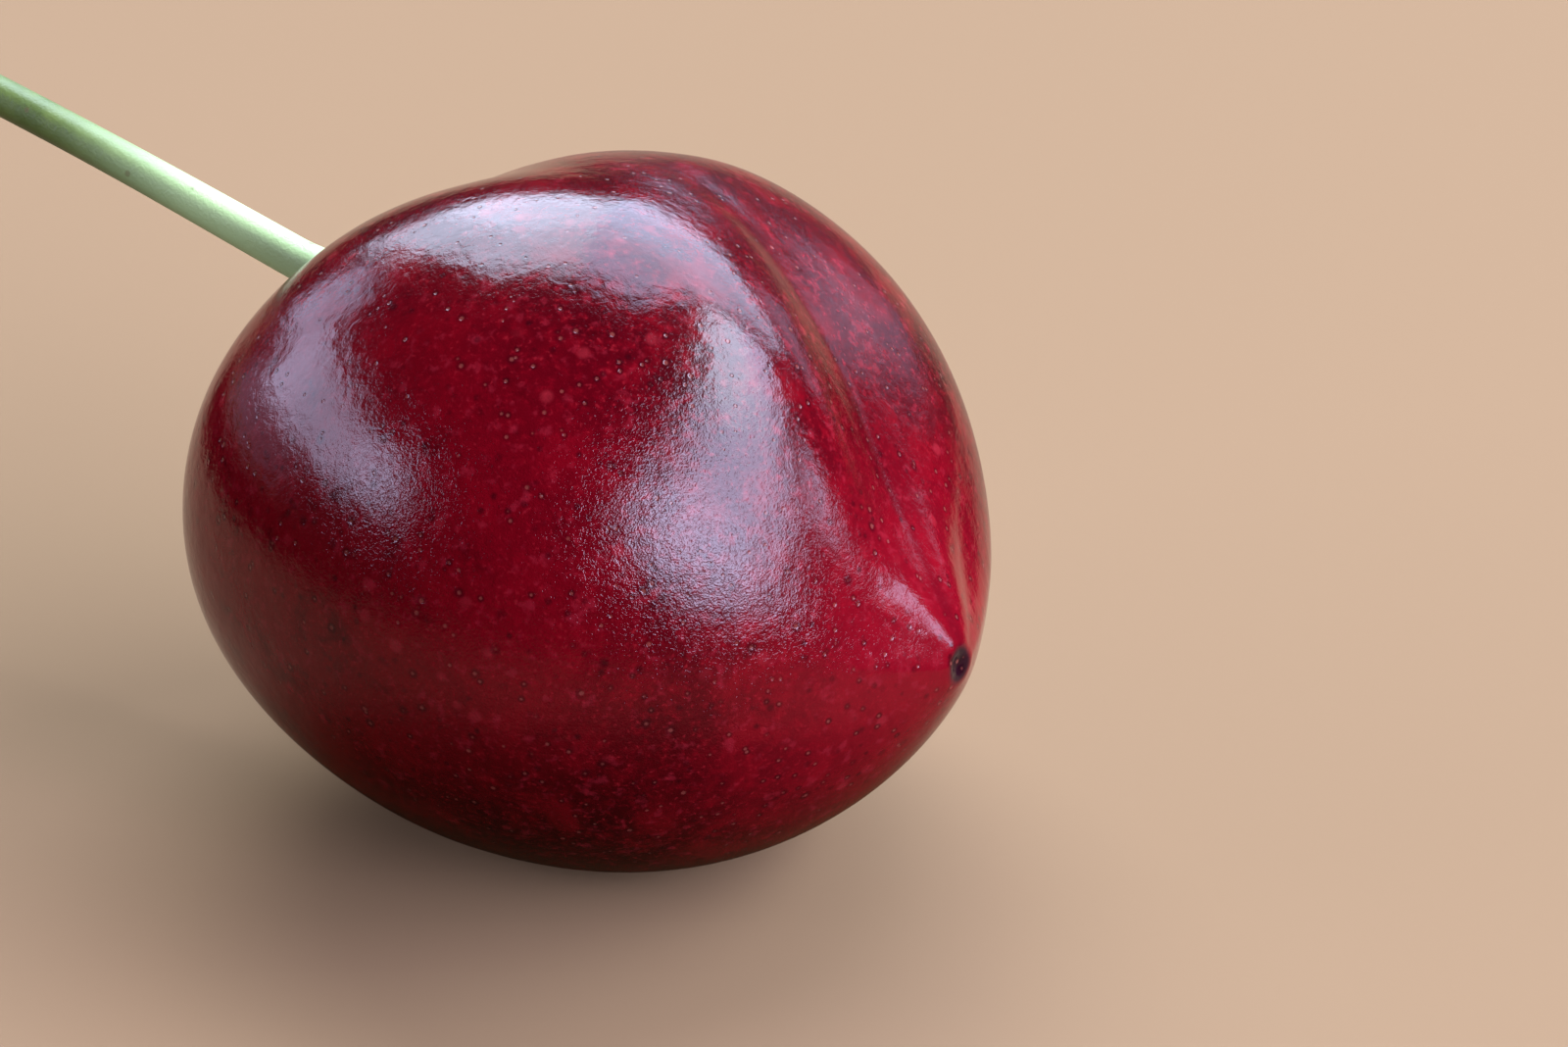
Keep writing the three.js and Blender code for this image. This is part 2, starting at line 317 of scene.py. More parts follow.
# %% Sizes of the stem
STEM_RADIUS = 0.61
STEM_FOOT_RADIUS = 1.0
STEM_KNOB_RADIUS = 1.15
STEM_BEND = np.array([-10.05, 7.67, 4.85])
STEM_TURN = math.radians(144.5)
STEM_RISE = math.radians(12)
STEM_FREE_LENGTH = 37
STEM_DROOP = 4
STEM_FOOT_DEPTH = 0.6
FLARE_LENGTH = 1.1
THICKENING = 0.07
THICKENING_LENGTH = 9
KNOB_FROM_END = 1
KNOB_LENGTH = 2.2
ROUNDED_LENGTH = 0.5
END_SHARE = 0.55
TWIST = 0.03
RIB_COUNT, RIB_SHARE = 5, 0.018
WAVE_COUNT, WAVE_SHARE, WAVE_TWIST = 3, 0.012, 0.35
print("the shaft is", 2 * STEM_RADIUS, "mm thick and the knob", 2 * STEM_KNOB_RADIUS, "mm")


# %% The stem's route
ROUTE_STEPS = 400
PROFILE_STEPS = 2000


def bezier(points, share):
    """A cubic Bezier curve through its first and last points, drawn towards the two between."""
    a, b, c, d = (np.asarray(point)[None] for point in points)
    t = share[:, None]
    return a * (1 - t) ** 3 + 3 * b * t * (1 - t) ** 2 + 3 * c * t**2 * (1 - t) + d * t**3


def stem_route(count):
    """Evenly spaced points of the stem's centre line, and the distance of each from its foot.

    One Bezier curve rises from the cavity's floor to the bend, and one runs from there to the
    far end, which droops. The floor is where the skin's profile reaches the cavity's middle.
    """
    fine = np.linspace(0, np.pi / 3, PROFILE_STEPS)
    profile = skin(fine, np.zeros_like(fine))[0]
    reach = np.interp(CAVITY_OFFSET, profile[:, 0], np.arange(len(fine)))
    cavity_floor = profile[int(round(reach))] @ pose
    foot = cavity_floor - STEM_FOOT_DEPTH * stem_end
    way = direction(STEM_TURN, STEM_RISE)
    pull = np.linalg.norm(STEM_BEND - foot) / 3
    bend = [foot, foot + pull * stem_end, STEM_BEND - pull * way, STEM_BEND]
    far = [STEM_BEND + share * STEM_FREE_LENGTH * way for share in (0, 1 / 3, 2 / 3, 1)]
    far[3] = far[3] - (0, 0, STEM_DROOP)
    share = np.linspace(0, 1, ROUTE_STEPS)
    path = np.concatenate([bezier(bend, share), bezier(far, share)[1:]])
    lengths = np.concatenate([[0], np.cumsum(np.linalg.norm(np.diff(path, axis=0), axis=1))])
    distance = np.linspace(0, lengths[-1], count)
    even = np.stack([np.interp(distance, lengths, path[:, k]) for k in range(3)], -1)
    return even + middle, distance


# %% Build the stem
STEM_RINGS, STEM_SIDES = 420, 40


def stem_radii(distance, length):
    """The stem's radius at each distance from its foot.

    Bells add the flare at the foot, a little thickness towards the fruit and the knob near the
    far end. Over a short length at both ends, a quarter circle rounds the radius over.
    """
    flare = (STEM_FOOT_RADIUS - STEM_RADIUS) * bell(distance, FLARE_LENGTH)
    thick = THICKENING * bell(distance, THICKENING_LENGTH)
    from_knob = length - distance - KNOB_FROM_END
    knob = (STEM_KNOB_RADIUS - STEM_RADIUS) * bell(from_knob, KNOB_LENGTH)
    rounding = np.clip(np.minimum(distance, length - distance) / ROUNDED_LENGTH, 0, 1)
    rounding = END_SHARE + (1 - END_SHARE) * np.sqrt(rounding * (2 - rounding))
    return (STEM_RADIUS + flare + thick + knob) * rounding


def stem_surface():
    """The stem's path, its rings of points and the distance of each ring from its foot.

    A circle is carried along the route, square to it. Its radius is multiplied by 1 plus a faint
    cosine, the ribs, and a faint sine, the waves. Both turn slowly about the stem, so the shaft
    isn't a plain tube.
    """
    path, distance = stem_route(STEM_RINGS)
    along = np.gradient(path, axis=0)
    along /= np.linalg.norm(along, axis=1, keepdims=True)
    side = np.cross(along, (0, 0, 1))
    side /= np.linalg.norm(side, axis=1, keepdims=True)
    up = np.cross(side, along)
    angle = 2 * np.pi * np.arange(STEM_SIDES)[None] / STEM_SIDES
    twist = angle + TWIST * distance[:, None]
    ribs = RIB_SHARE * np.cos(RIB_COUNT * twist)
    waves = WAVE_SHARE * np.sin(WAVE_COUNT * twist + WAVE_TWIST * distance[:, None])
    radius = stem_radii(distance, distance[-1])[:, None] * (1 + (ribs + waves))
    ring = np.cos(angle)[..., None] * side[:, None] + np.sin(angle)[..., None] * up[:, None]
    return path, path[:, None] + radius[..., None] * ring, distance


stem_path, stem_rings, stem_distance = stem_surface()
stem = closed_mesh("cherry_stem", stem_path[0], stem_rings[1:-1], stem_path[-1])
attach(stem, "root")
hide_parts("stem")
print("the stem is", round(float(stem_distance[-1]), 1), "mm long")

# %% [markdown]
# ## Helpers for the materials
#
# A material is a tree of nodes. It could be drawn by hand in the shader editor, but a long tree
# is easier to read and to change as lines of code. These helpers keep the lines short: they add
# a node and plug in its inputs, do arithmetic, mix two colours, and measure places.

# %% Node helpers
# Several sockets of the Mix node share a name, so they are found by number.
MIX_SHARE, MIX_FIRST, MIX_SECOND, MIX_RESULT = 0, 6, 7, 2


def add(tree, kind, inputs=None, **settings):
    """Adds a node, sets its properties, and gives each listed input a value or a socket."""
    made = tree.nodes.new(kind)
    for name, value in settings.items():
        setattr(made, name, value)
    for name, value in (inputs or {}).items():
        if isinstance(value, bpy.types.NodeSocket):
            tree.links.new(value, made.inputs[name])
        else:
            made.inputs[name].default_value = value
    return made


def maths(tree, operation, *values):
    """The result of one arithmetic step."""
    inputs = dict(enumerate(values))
    return add(tree, "ShaderNodeMath", inputs, operation=operation).outputs[0]


def span(tree, value, low, high, bottom=0.0, top=1.0):
    """value carried smoothly from the range low..high to bottom..top."""
    inputs = {"Value": value, "From Min": low, "From Max": high, "To Min": bottom, "To Max": top}
    made = add(tree, "ShaderNodeMapRange", inputs, interpolation_type="SMOOTHSTEP")
    return made.outputs["Result"]


def with_alpha(colour):
    """Red, green and blue with an alpha of 1. A socket stays as it is."""
    return colour if isinstance(colour, bpy.types.NodeSocket) else (*colour, 1.0)


def mix(tree, share, first, second):
    """Two colours mixed by a share: 0 gives the first and 1 the second."""
    inputs = {MIX_SHARE: share, MIX_FIRST: with_alpha(first), MIX_SECOND: with_alpha(second)}
    return add(tree, "ShaderNodeMix", inputs, data_type="RGBA").outputs[MIX_RESULT]


def tinted(tree, colour, tint, measure, none_at, most_at, most=1.0):
    """A colour with a tint over it. The tint's share rises smoothly from 0 where the measure is
    none_at to most where it is most_at."""
    return mix(tree, span(tree, measure, none_at, most_at, 0.0, most), colour, tint)


# %% Noise, place and distance
def noise(tree, place, scale, detail=2.0, roughness=0.5, distortion=0.0):
    """Cloudy noise, with scale in features per millimetre."""
    inputs = {
        "Vector": place,
        "Scale": scale,
        "Detail": detail,
        "Roughness": roughness,
        "Distortion": distortion,
    }
    return add(tree, "ShaderNodeTexNoise", inputs).outputs["Fac"]


def millimetres(tree):
    """The object's own coordinates, in millimetres."""
    place = add(tree, "ShaderNodeTexCoord").outputs["Object"]
    inputs = {0: place, "Scale": 1 / MM}
    return add(tree, "ShaderNodeVectorMath", inputs, operation="SCALE").outputs[0]


def distance_to(tree, place, point):
    """Distance from a point in millimetres."""
    inputs = {0: place, 1: tuple(float(value) for value in point)}
    made = add(tree, "ShaderNodeVectorMath", inputs, operation="DISTANCE")
    return made.outputs["Value"]


# %% A new material
def new_material(name):
    """A material with an empty tree, its Principled shader and its output."""
    material = bpy.data.materials.new(name)
    material.use_nodes = True
    tree = material.node_tree
    tree.nodes.clear()
    shader = tree.nodes.new("ShaderNodeBsdfPrincipled")
    output = tree.nodes.new("ShaderNodeOutputMaterial")
    tree.links.new(shader.outputs[0], output.inputs[0])
    return material, tree, shader


def finish(tree, shader, colour, height):
    """Gives a shader its colour, and bends its normal by a height in millimetres."""
    bump = add(tree, "ShaderNodeBump", {"Height": height, "Strength": 1.0, "Distance": MM})
    tree.links.new(bump.outputs[0], shader.inputs["Normal"])
    tree.links.new(colour, shader.inputs["Base Color"])


# %% [markdown]
# ## Two effects that both materials use
#
# The skin and the stem both have a fine grain and small scattered dots. Each effect is a node
# group with named inputs, so both materials share one tree and differ only in the numbers.

# %% Shared node groups
FINER_BY, FINER_HEIGHT = 2.1, 0.5
STRAND_DISTORTION = 1.2
DOT_MIDDLE = 0.45


def new_group(name, inputs, outputs):
    """A node group with number and vector sockets. Gives its tree and its inner sockets."""
    tree = bpy.data.node_groups.new(name, "ShaderNodeTree")
    for label, value in inputs.items():
        kind = "NodeSocketVector" if value is None else "NodeSocketFloat"
        made = tree.interface.new_socket(label, in_out="INPUT", socket_type=kind)
        if value is not None:
            made.default_value = value
    for label in outputs:
        tree.interface.new_socket(label, in_out="OUTPUT", socket_type="NodeSocketFloat")
    given = tree.nodes.new("NodeGroupInput").outputs
    result = tree.nodes.new("NodeGroupOutput").inputs
    print("the group", name, "takes", list(inputs), "and gives", outputs)
    return tree, given, result


def fine_grain_group():
    """Height of a rough grain: two noises, the second about twice as fine and half as high. The
    first is distorted, which draws its bumps out into short curved strands."""
    inputs = {"Place": None, "Scale": 8.0, "Height": 0.01}
    tree, given, result = new_group("fine_grain", inputs, ["Height"])
    coarse = noise(tree, given["Place"], given["Scale"], 1.0, 0.5, STRAND_DISTORTION)
    fine_scale = maths(tree, "MULTIPLY", given["Scale"], FINER_BY)
    fine = noise(tree, given["Place"], fine_scale, 1.0)
    total = maths(tree, "MULTIPLY_ADD", fine, FINER_HEIGHT, coarse)
    tree.links.new(maths(tree, "MULTIPLY", total, given["Height"]), result["Height"])
    return tree


def scattered_dots_group():
    """Masks for small dots, one to a cell of space: the middle of each dot and its soft halo.
    Both fall off with the distance from the cell's own point."""
    inputs = {"Place": None, "Scale": 1.5, "Radius": 0.1, "Halo": 2.0}
    tree, given, result = new_group("scattered_dots", inputs, ["Middle", "Halo"])
    reach = maths(tree, "MULTIPLY", given["Radius"], given["Scale"])
    cells = {"Vector": given["Place"], "Scale": given["Scale"]}
    distance = add(tree, "ShaderNodeTexVoronoi", cells).outputs["Distance"]
    inner = maths(tree, "MULTIPLY", reach, DOT_MIDDLE)
    outer = maths(tree, "MULTIPLY", reach, given["Halo"])
    tree.links.new(span(tree, distance, reach, inner), result["Middle"])
    tree.links.new(span(tree, distance, outer, reach), result["Halo"])
    return tree


def use_group(tree, group, place, **inputs):
    """A node that runs a shared group. Gives its outputs."""
    return add(tree, "ShaderNodeGroup", {"Place": place, **inputs}, node_tree=group).outputs


FINE_GRAIN = fine_grain_group()
SCATTERED_DOTS = scattered_dots_group()

# %% [markdown]
# ## The red of the skin
#
# A ripe cherry is a deep crimson that is never even: clouds of brighter and darker red lie under
# a clear waxy skin, with soft paler spots between them. Painted light is laid over this: a paler
# side as painted fill light, a tip painted brighter as light shining through it, an underside
# painted almost black as shade, and a crease painted darker as shade. A painted texture would
# hold all this, but a procedural one stays sharp up close.
# Each layer is a tint whose share follows a noise or the distance from a named point. Points are
# in millimetres, and colours are linear red, green and blue.

# %% Places and colours of the skin
tip_point = skin_ends[1]
foot_point = stem_path[0]
# Painted fill light: round this point the red is painted paler, where the lamps leave the skin too
# dark.
PAINTED_FILL_SIDE = (-16.0, -14.0, 12.0)
# Painted shade: round this point below the fruit the red is painted almost black.
UNDER_SHADE_POINT = (0.0, -10.0, -4.0)
DEEP_RED = (0.019, 0.0001, 0.0008)
PAINTED_FILL_RED = (0.056, 0.0003, 0.0017)
PAINTED_UNDER_SHADE = (0.006, 0.0001, 0.0003)
BROAD_CLOUD_RED = (0.042, 0.0002, 0.0014)
DARK_CLOUD_RED = (0.014, 0.0001, 0.0006)
BRIGHT_CLOUD_RED = (0.07, 0.0004, 0.002)
SPECKLE_RED = (0.08, 0.0006, 0.0025)
FLECK_RED = (0.1, 0.004, 0.006)
# Painted light: a brighter red towards the tip, as a glow of light shining through the flesh.
PAINTED_TIP_GLOW = (0.096, 0.0011, 0.0037)
BLOTCH_RED = (0.11, 0.005, 0.009)
SOFT_SPOT_RED = (0.13, 0.007, 0.01)
# Painted shade: a darker red along the crease.
PAINTED_CREASE_SHADE = (0.02, 0.0004, 0.0015)
SCAR_BLACK = (0.004, 0.0012, 0.0025)
STEM_RING_BROWN = (0.05, 0.018, 0.008)
SOFT_SPOTS = {"Scale": 0.85, "Radius": 0.28, "Halo": 1.2}
print("the tip is at", np.round(tip_point, 1), "and the stem's foot at", np.round(foot_point, 1))


# %% The red as layers of tint
def skin_colour(tree, place):
    """The red under the wax, from its broadest layer to its smallest marks."""
    from_tip = distance_to(tree, place, tip_point)
    from_foot = distance_to(tree, place, foot_point)
    from_under_shade = distance_to(tree, place, UNDER_SHADE_POINT)
    # Painted fill light: the red is painted paler towards one side.
    painted_fill = span(tree, distance_to(tree, place, PAINTED_FILL_SIDE), 20.0, 12.0)
    colour = mix(tree, painted_fill, DEEP_RED, PAINTED_FILL_RED)
    # Painted shade: the underside is painted almost black.
    colour = tinted(tree, colour, PAINTED_UNDER_SHADE, from_under_shade, 16.0, 10.0, 0.85)

    broad = noise(tree, place, scale=0.11)
    cloud = noise(tree, place, scale=0.55, detail=4.0, roughness=0.6, distortion=0.5)
    speckle = noise(tree, place, scale=3.5, detail=3.0, roughness=0.6)
    fleck = noise(tree, place, scale=7.0, detail=1.0)
    colour = tinted(tree, colour, BROAD_CLOUD_RED, broad, 0.35, 0.65, 0.3)
    colour = tinted(tree, colour, DARK_CLOUD_RED, cloud, 0.45, 0.3, 0.5)
    colour = tinted(tree, colour, BRIGHT_CLOUD_RED, cloud, 0.45, 0.72, 0.6)
    colour = tinted(tree, colour, SPECKLE_RED, speckle, 0.45, 0.75, 0.45)
    colour = tinted(tree, colour, FLECK_RED, fleck, 0.6, 0.8, 0.5)
    # Painted light: the tip is painted brighter, as if light shone through it.
    colour = tinted(tree, colour, PAINTED_TIP_GLOW, from_tip, 11.0, 2.0, 0.6)

    blotch = noise(tree, place, scale=2.3, detail=3.0, roughness=0.55)
    colour = tinted(tree, colour, BLOTCH_RED, blotch, 0.55, 0.72, 0.4)
    spots = use_group(tree, SCATTERED_DOTS, place, **SOFT_SPOTS)["Middle"]
    spotted = span(tree, noise(tree, place, scale=0.45), 0.42, 0.65, 0.0, 0.4)
    colour = mix(tree, maths(tree, "MULTIPLY", spots, spotted), colour, SOFT_SPOT_RED)

    # Painted shade: the red is painted darker along the crease.
    crease = add(tree, "ShaderNodeAttribute", attribute_name="crease_distance").outputs["Fac"]
    colour = tinted(tree, colour, PAINTED_CREASE_SHADE, crease, 0.5, 0.05, 0.35)
    colour = tinted(tree, colour, SCAR_BLACK, from_tip, 0.75, 0.45, 0.95)
    return tinted(tree, colour, STEM_RING_BROWN, from_foot, 2.2, 1.2, 0.8)


# %% [markdown]
# ## Lenticels and wax
#
# Small pale dots, the lenticels, each sit in a darker halo. The wax over them has a fine grain,
# strongest on one cheek, over long soft ripples. The grain could be displaced in the mesh, but it
# is finer than any mesh worth keeping, so it is a bump with its heights in millimetres.
#
# The wax is one smooth lobe of low index. A coat over a rough base would be nearer to the real
# layers, but the rough base would lay a grey haze over flesh as dark as this.

# %% Sizes of the lenticels and the relief
GRAINY_SIDE = (-1.5, -13.5, 12.5)
FAR_SIDE = (8.0, 8.0, 18.0)
SMALL_DOTS = {"Scale": 1.8, "Radius": 0.075, "Halo": 2.2}
LARGE_DOTS = {"Scale": 1.0, "Radius": 0.1, "Halo": 2.5}
HALO_RED = (0.006, 0.0002, 0.0008)
DOT_PINK = (0.11, 0.026, 0.018)
DOT_SHARE = 0.45
DIMPLE_DEPTH = 0.008
SKIN_GRAIN = {"Scale": 8.5, "Height": 0.012}
PIT_DEPTH = 0.004
RIPPLE_HEIGHT = 0.012
WAVE_HEIGHT = 0.03
NEAR_ROUGHNESS, FAR_ROUGHNESS = 0.13, 0.22
WAX_INDEX = 1.24
print("the waves are", WAVE_HEIGHT, "mm high and the dimples", DIMPLE_DEPTH, "mm deep")


# %% Lenticels and relief
def lenticels(tree, place):
    """Masks of the lenticels' middles and halos: of two sizes of dot, the stronger one."""
    small = use_group(tree, SCATTERED_DOTS, place, **SMALL_DOTS)
    large = use_group(tree, SCATTERED_DOTS, place, **LARGE_DOTS)
    middles = maths(tree, "MAXIMUM", small["Middle"], large["Middle"])
    halos = maths(tree, "MAXIMUM", small["Halo"], large["Halo"])
    return middles, halos


def skin_height(tree, place, middles):
    """Height of the wax: grain less pits, faded away from the grainy side, plus ripples and
    waves, less a dimple at the middle of each lenticel."""
    grain = use_group(tree, FINE_GRAIN, place, **SKIN_GRAIN)["Height"]
    grainy = span(tree, distance_to(tree, place, GRAINY_SIDE), 12.0, 4.5, 0.3, 1.0)
    pits = span(tree, noise(tree, place, scale=9.0, roughness=0.6), 0.52, 0.68)
    pitted = maths(tree, "MULTIPLY_ADD", pits, -PIT_DEPTH, grain)
    ripples = noise(tree, place, scale=2.4, detail=1.0, distortion=0.6)
    waves = noise(tree, place, scale=0.8)
    height = maths(tree, "MULTIPLY", pitted, grainy)
    height = maths(tree, "MULTIPLY_ADD", ripples, RIPPLE_HEIGHT, height)
    height = maths(tree, "MULTIPLY_ADD", waves, WAVE_HEIGHT, height)
    return maths(tree, "MULTIPLY_ADD", middles, -DIMPLE_DEPTH, height)


# %% Skin material
def skin_material():
    """The red with the lenticels over it, under wax that is a little rougher on the far side."""
    material, tree, shader = new_material("cherry_skin")
    place = millimetres(tree)
    middles, halos = lenticels(tree, place)
    freckled = span(tree, noise(tree, place, scale=0.9), 0.35, 0.65, 0.15, 0.6)
    colour = skin_colour(tree, place)
    colour = mix(tree, maths(tree, "MULTIPLY", halos, freckled), colour, HALO_RED)
    colour = mix(tree, maths(tree, "MULTIPLY", middles, DOT_SHARE), colour, DOT_PINK)
    finish(tree, shader, colour, skin_height(tree, place, middles))
    from_far = distance_to(tree, place, FAR_SIDE)
    roughness = span(tree, from_far, 13.0, 9.5, NEAR_ROUGHNESS, FAR_ROUGHNESS)
    tree.links.new(roughness, shader.inputs["Roughness"])
    shader.inputs["IOR"].default_value = WAX_INDEX
    print(material.name, "has", len(tree.nodes), "nodes")
    return material


fruit.data.materials.append(skin_material())

# %% [markdown]
# ## Stem finish
#
# A fresh stem is yellowish green, with fine long streaks and small brown flecks. Towards the
# fruit it is painted much paler: a little of that is its own paler green, most is painted light
# that brightens the part near the fruit. It turns brown and dry at the far end, where it came off
# the spur, and round its foot.
# The same tints and the two shared groups make it, so only its colours and sizes are new.

# %% Colours of the stem
STEM_GREEN = (0.045, 0.066, 0.012)
STEM_CLOUD_GREEN = (0.061, 0.085, 0.016)
STREAK_GREEN = (0.065, 0.093, 0.028)
# Painted light: the paler green near the foot is partly the stem's own tone, mostly painted light.
PAINTED_FOOT_LIGHT = (0.26, 0.35, 0.145)
STEM_DOT_BROWN = (0.073, 0.049, 0.016)
FAR_END_BROWN = (0.049, 0.027, 0.012)
FOOT_BROWN = (0.106, 0.073, 0.028)
STEM_DOTS = {"Scale": 1.2, "Radius": 0.08, "Halo": 1.6}
STEM_DOT_SHARE = 0.5
STEM_GRAIN = {"Scale": 4.0, "Height": 0.015}
STEM_ROUGHNESS = 0.5
STEM_INDEX = 1.24
print("the stem's flecks are", 2 * STEM_DOTS["Radius"], "mm across")


# %% Stem material
def stem_material():
    """Two greens clouded together, then streaks, painted light by the foot, flecks and brown ends."""
    material, tree, shader = new_material("cherry_stem")
    place = millimetres(tree)
    from_far_end = distance_to(tree, place, stem_path[-1])
    from_foot = distance_to(tree, place, foot_point)
    cloud = noise(tree, place, scale=0.5, detail=3.0, roughness=0.6)
    streak = noise(tree, place, scale=5.0, detail=3.0, roughness=0.6)
    flecks = use_group(tree, SCATTERED_DOTS, place, **STEM_DOTS)["Halo"]
    colour = mix(tree, span(tree, cloud, 0.35, 0.65), STEM_GREEN, STEM_CLOUD_GREEN)
    colour = tinted(tree, colour, STREAK_GREEN, streak, 0.45, 0.75, 0.4)
    # Painted light: much paler near the foot, partly its own tone and mostly painted light.
    colour = tinted(tree, colour, PAINTED_FOOT_LIGHT, from_foot, 15.0, 6.0, 0.9)
    fleck_share = maths(tree, "MULTIPLY", flecks, STEM_DOT_SHARE)
    colour = mix(tree, fleck_share, colour, STEM_DOT_BROWN)
    colour = tinted(tree, colour, FAR_END_BROWN, from_far_end, 6.5, 1.5)
    colour = tinted(tree, colour, FOOT_BROWN, from_foot, 2.6, 1.0, 0.7)
    finish(tree, shader, colour, use_group(tree, FINE_GRAIN, place, **STEM_GRAIN)["Height"])
    shader.inputs["Roughness"].default_value = STEM_ROUGHNESS
    shader.inputs["IOR"].default_value = STEM_INDEX
    print(material.name, "has", len(tree.nodes), "nodes")
    return material


stem.data.materials.append(stem_material())

# %% [markdown]
# ## Floor
#
# A plain pale floor, warm in tone and without gloss. It isn't part of the object. A cove that
# curves up behind would hide the floor's far edge, but the camera looks down and never sees it.

# %% Floor
FLOOR_SIZE = 1.6
FLOOR_COLOUR = (0.127, 0.0795, 0.041)
FLOOR_ROUGHNESS = 0.85


def matt_piece(name, points, faces, roughness):
    """A flat piece without gloss, from points in metres. Gives the piece, its material's tree
    and its shader."""
    mesh = bpy.data.meshes.new(name)
    mesh.from_pydata(points, [], faces)
    piece = bpy.data.objects.new(name, mesh)
    bpy.context.scene.collection.objects.link(piece)
    material, tree, shader = new_material(name)
    shader.inputs["Roughness"].default_value = roughness
    shader.inputs["Specular IOR Level"].default_value = 0.0
    mesh.materials.append(material)
    return piece, tree, shader


half = FLOOR_SIZE / 2
corners = [(-half, -half, 0), (half, -half, 0), (half, half, 0), (-half, half, 0)]
floor, _, floor_shader = matt_piece("floor", corners, [(0, 1, 2, 3)], FLOOR_ROUGHNESS)
floor_shader.inputs["Base Color"].default_value = with_alpha(FLOOR_COLOUR)
floor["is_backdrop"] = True
print("the floor is", FLOOR_SIZE, "m across")

# %% [markdown]
# ## Dark cards
#
# A glossy fruit mirrors all that is round it. A low card in a ring round the front and the sides
# ends the mirrored floor a little way out, and a dark patch under the fruit deepens the mirrored
# shadow. Studios use black flags in this way. Real walls would do it too, but would show in other
# views, so only mirror rays meet these cards: they aren't seen and shade nothing.

# %% Card helpers
CARD_ROUGHNESS = 1.0


def circle(centre, reach, compass):
    """Points at a reach from a centre, one for each compass turn from +Y towards +X."""
    ring = np.stack([np.sin(compass), np.cos(compass), 0 * compass], axis=1)
    return ring * reach + centre


def mirror_card(name, points, faces):
    """A card, from points in millimetres, that only mirror rays meet. Gives its material's tree
    and its shader."""
    card, tree, shader = matt_piece(name, (points * MM).tolist(), faces, CARD_ROUGHNESS)
    card.visible_camera = False
    card.visible_shadow = False
    card.visible_diffuse = False
    card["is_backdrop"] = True
    return tree, shader


# %% Dark ring
CARD_STEPS = 60
RING_COLOUR = (0.0, 0.0, 0.0)
RING_REACH = 62.0
RING_HEIGHT = 12.0
RING_FROM, RING_TO = math.radians(38), math.radians(320)
ring_turns = np.linspace(RING_FROM, RING_TO, CARD_STEPS)
foot_line = circle((*middle[:2], 0), RING_REACH, ring_turns)
ring_points = np.concatenate([foot_line, foot_line + (0, 0, RING_HEIGHT)])
ring_faces = [(i, i + 1, CARD_STEPS + i + 1, CARD_STEPS + i) for i in range(CARD_STEPS - 1)]
ring_shader = mirror_card("dark_ring", ring_points, ring_faces)[1]
ring_shader.inputs["Base Color"].default_value = with_alpha(RING_COLOUR)
print("the ring stands", RING_REACH, "mm out and is", RING_HEIGHT, "mm high")

# %% Dark patch
# Painted shadow: a dark disc that fades to the floor's colour, which the skin mirrors as the shadow
# under it.
PAINTED_SHADOW_COLOUR = (0.03, 0.014, 0.005)
PATCH_CENTRE = (-1.0, -9.0, 0.02)
PATCH_REACH = 24.0
PATCH_FADES = 11.0
PATCH_IS_GONE = 23.0
patch_turns = np.linspace(0, 2 * np.pi, CARD_STEPS, endpoint=False)
patch_points = circle(PATCH_CENTRE, PATCH_REACH, patch_turns)
patch_tree, patch_shader = mirror_card("dark_patch", patch_points, [tuple(range(CARD_STEPS))])
from_centre = distance_to(patch_tree, millimetres(patch_tree), PATCH_CENTRE)
fading = span(patch_tree, from_centre, PATCH_FADES, PATCH_IS_GONE)
patch_colour = mix(patch_tree, fading, PAINTED_SHADOW_COLOUR, FLOOR_COLOUR)
patch_tree.links.new(patch_colour, patch_shader.inputs["Base Color"])
print("the patch fades to the floor's colour", PATCH_IS_GONE, "mm from its centre")

# %% [markdown]
# ## Light
#
# Plain soft studio light: large soft boxes behind, to the right and to the left, and a dim room.
# Their reflections draw the bright horseshoe on the skin, and the dark front keeps its middle
# deep red. A real soft box is brighter in its middle than at its ends, so each is a plane of
# panels with a brightness of their own. One picture of a sky could replace them all, but panels
# can be moved and dimmed one at a time. A plane is placed by its compass direction and height,
# and then rolled, so that the edges of its mirror image slant across the skin.

# %% A panel of a soft box
LIGHT_DISTANCE = 0.6
COOL_WHITE = (0.64, 0.76, 1.0)
COOL_MAUVE = (0.64, 0.67, 1.0)
COOL_BLUE = (0.54, 0.7, 1.0)


def panel(name, plane, edges, brightness, colour=COOL_MAUVE):
    """A rectangle of light on a plane that faces the fruit.

    plane is where the plane's nearest point is seen from the fruit, and how it is turned: its
    compass, 0 behind the fruit and 90 to its right, its height above level, and the roll that
    drops its right end, all in degrees. edges are the rectangle's left, right, low and high
    sides on the plane, as shares of the distance. brightness is the radiance that the skin
    mirrors, so the power is brightness times pi times the area.
    """
    left, right, low, high = (LIGHT_DISTANCE * edge for edge in edges)
    compass, height, roll = (math.radians(angle) for angle in plane)
    out = Vector(direction(math.pi / 2 - compass, height))
    side = out.cross(Vector((0, 0, 1))).normalized()
    side = Quaternion(out, roll) @ side
    up = side.cross(out)
    data = bpy.data.lights.new(name, "AREA")
    data.shape = "RECTANGLE"
    data.size = right - left
    data.size_y = high - low
    data.energy = brightness * math.pi * data.size * data.size_y
    data.color = colour
    lamp = bpy.data.objects.new(name, data)
    centre = out * LIGHT_DISTANCE + side * (left + right) / 2 + up * (low + high) / 2
    lamp.location = Vector(middle * MM) + centre
    lamp.rotation_mode = "QUATERNION"
    lamp.rotation_quaternion = Matrix((-side, up, -out)).transposed().to_quaternion()
    lamp.visible_camera = False
    bpy.context.scene.collection.objects.link(lamp)
    print(name, "gives", round(data.energy, 2), "W from", round(lamp.location.z, 2), "m up")


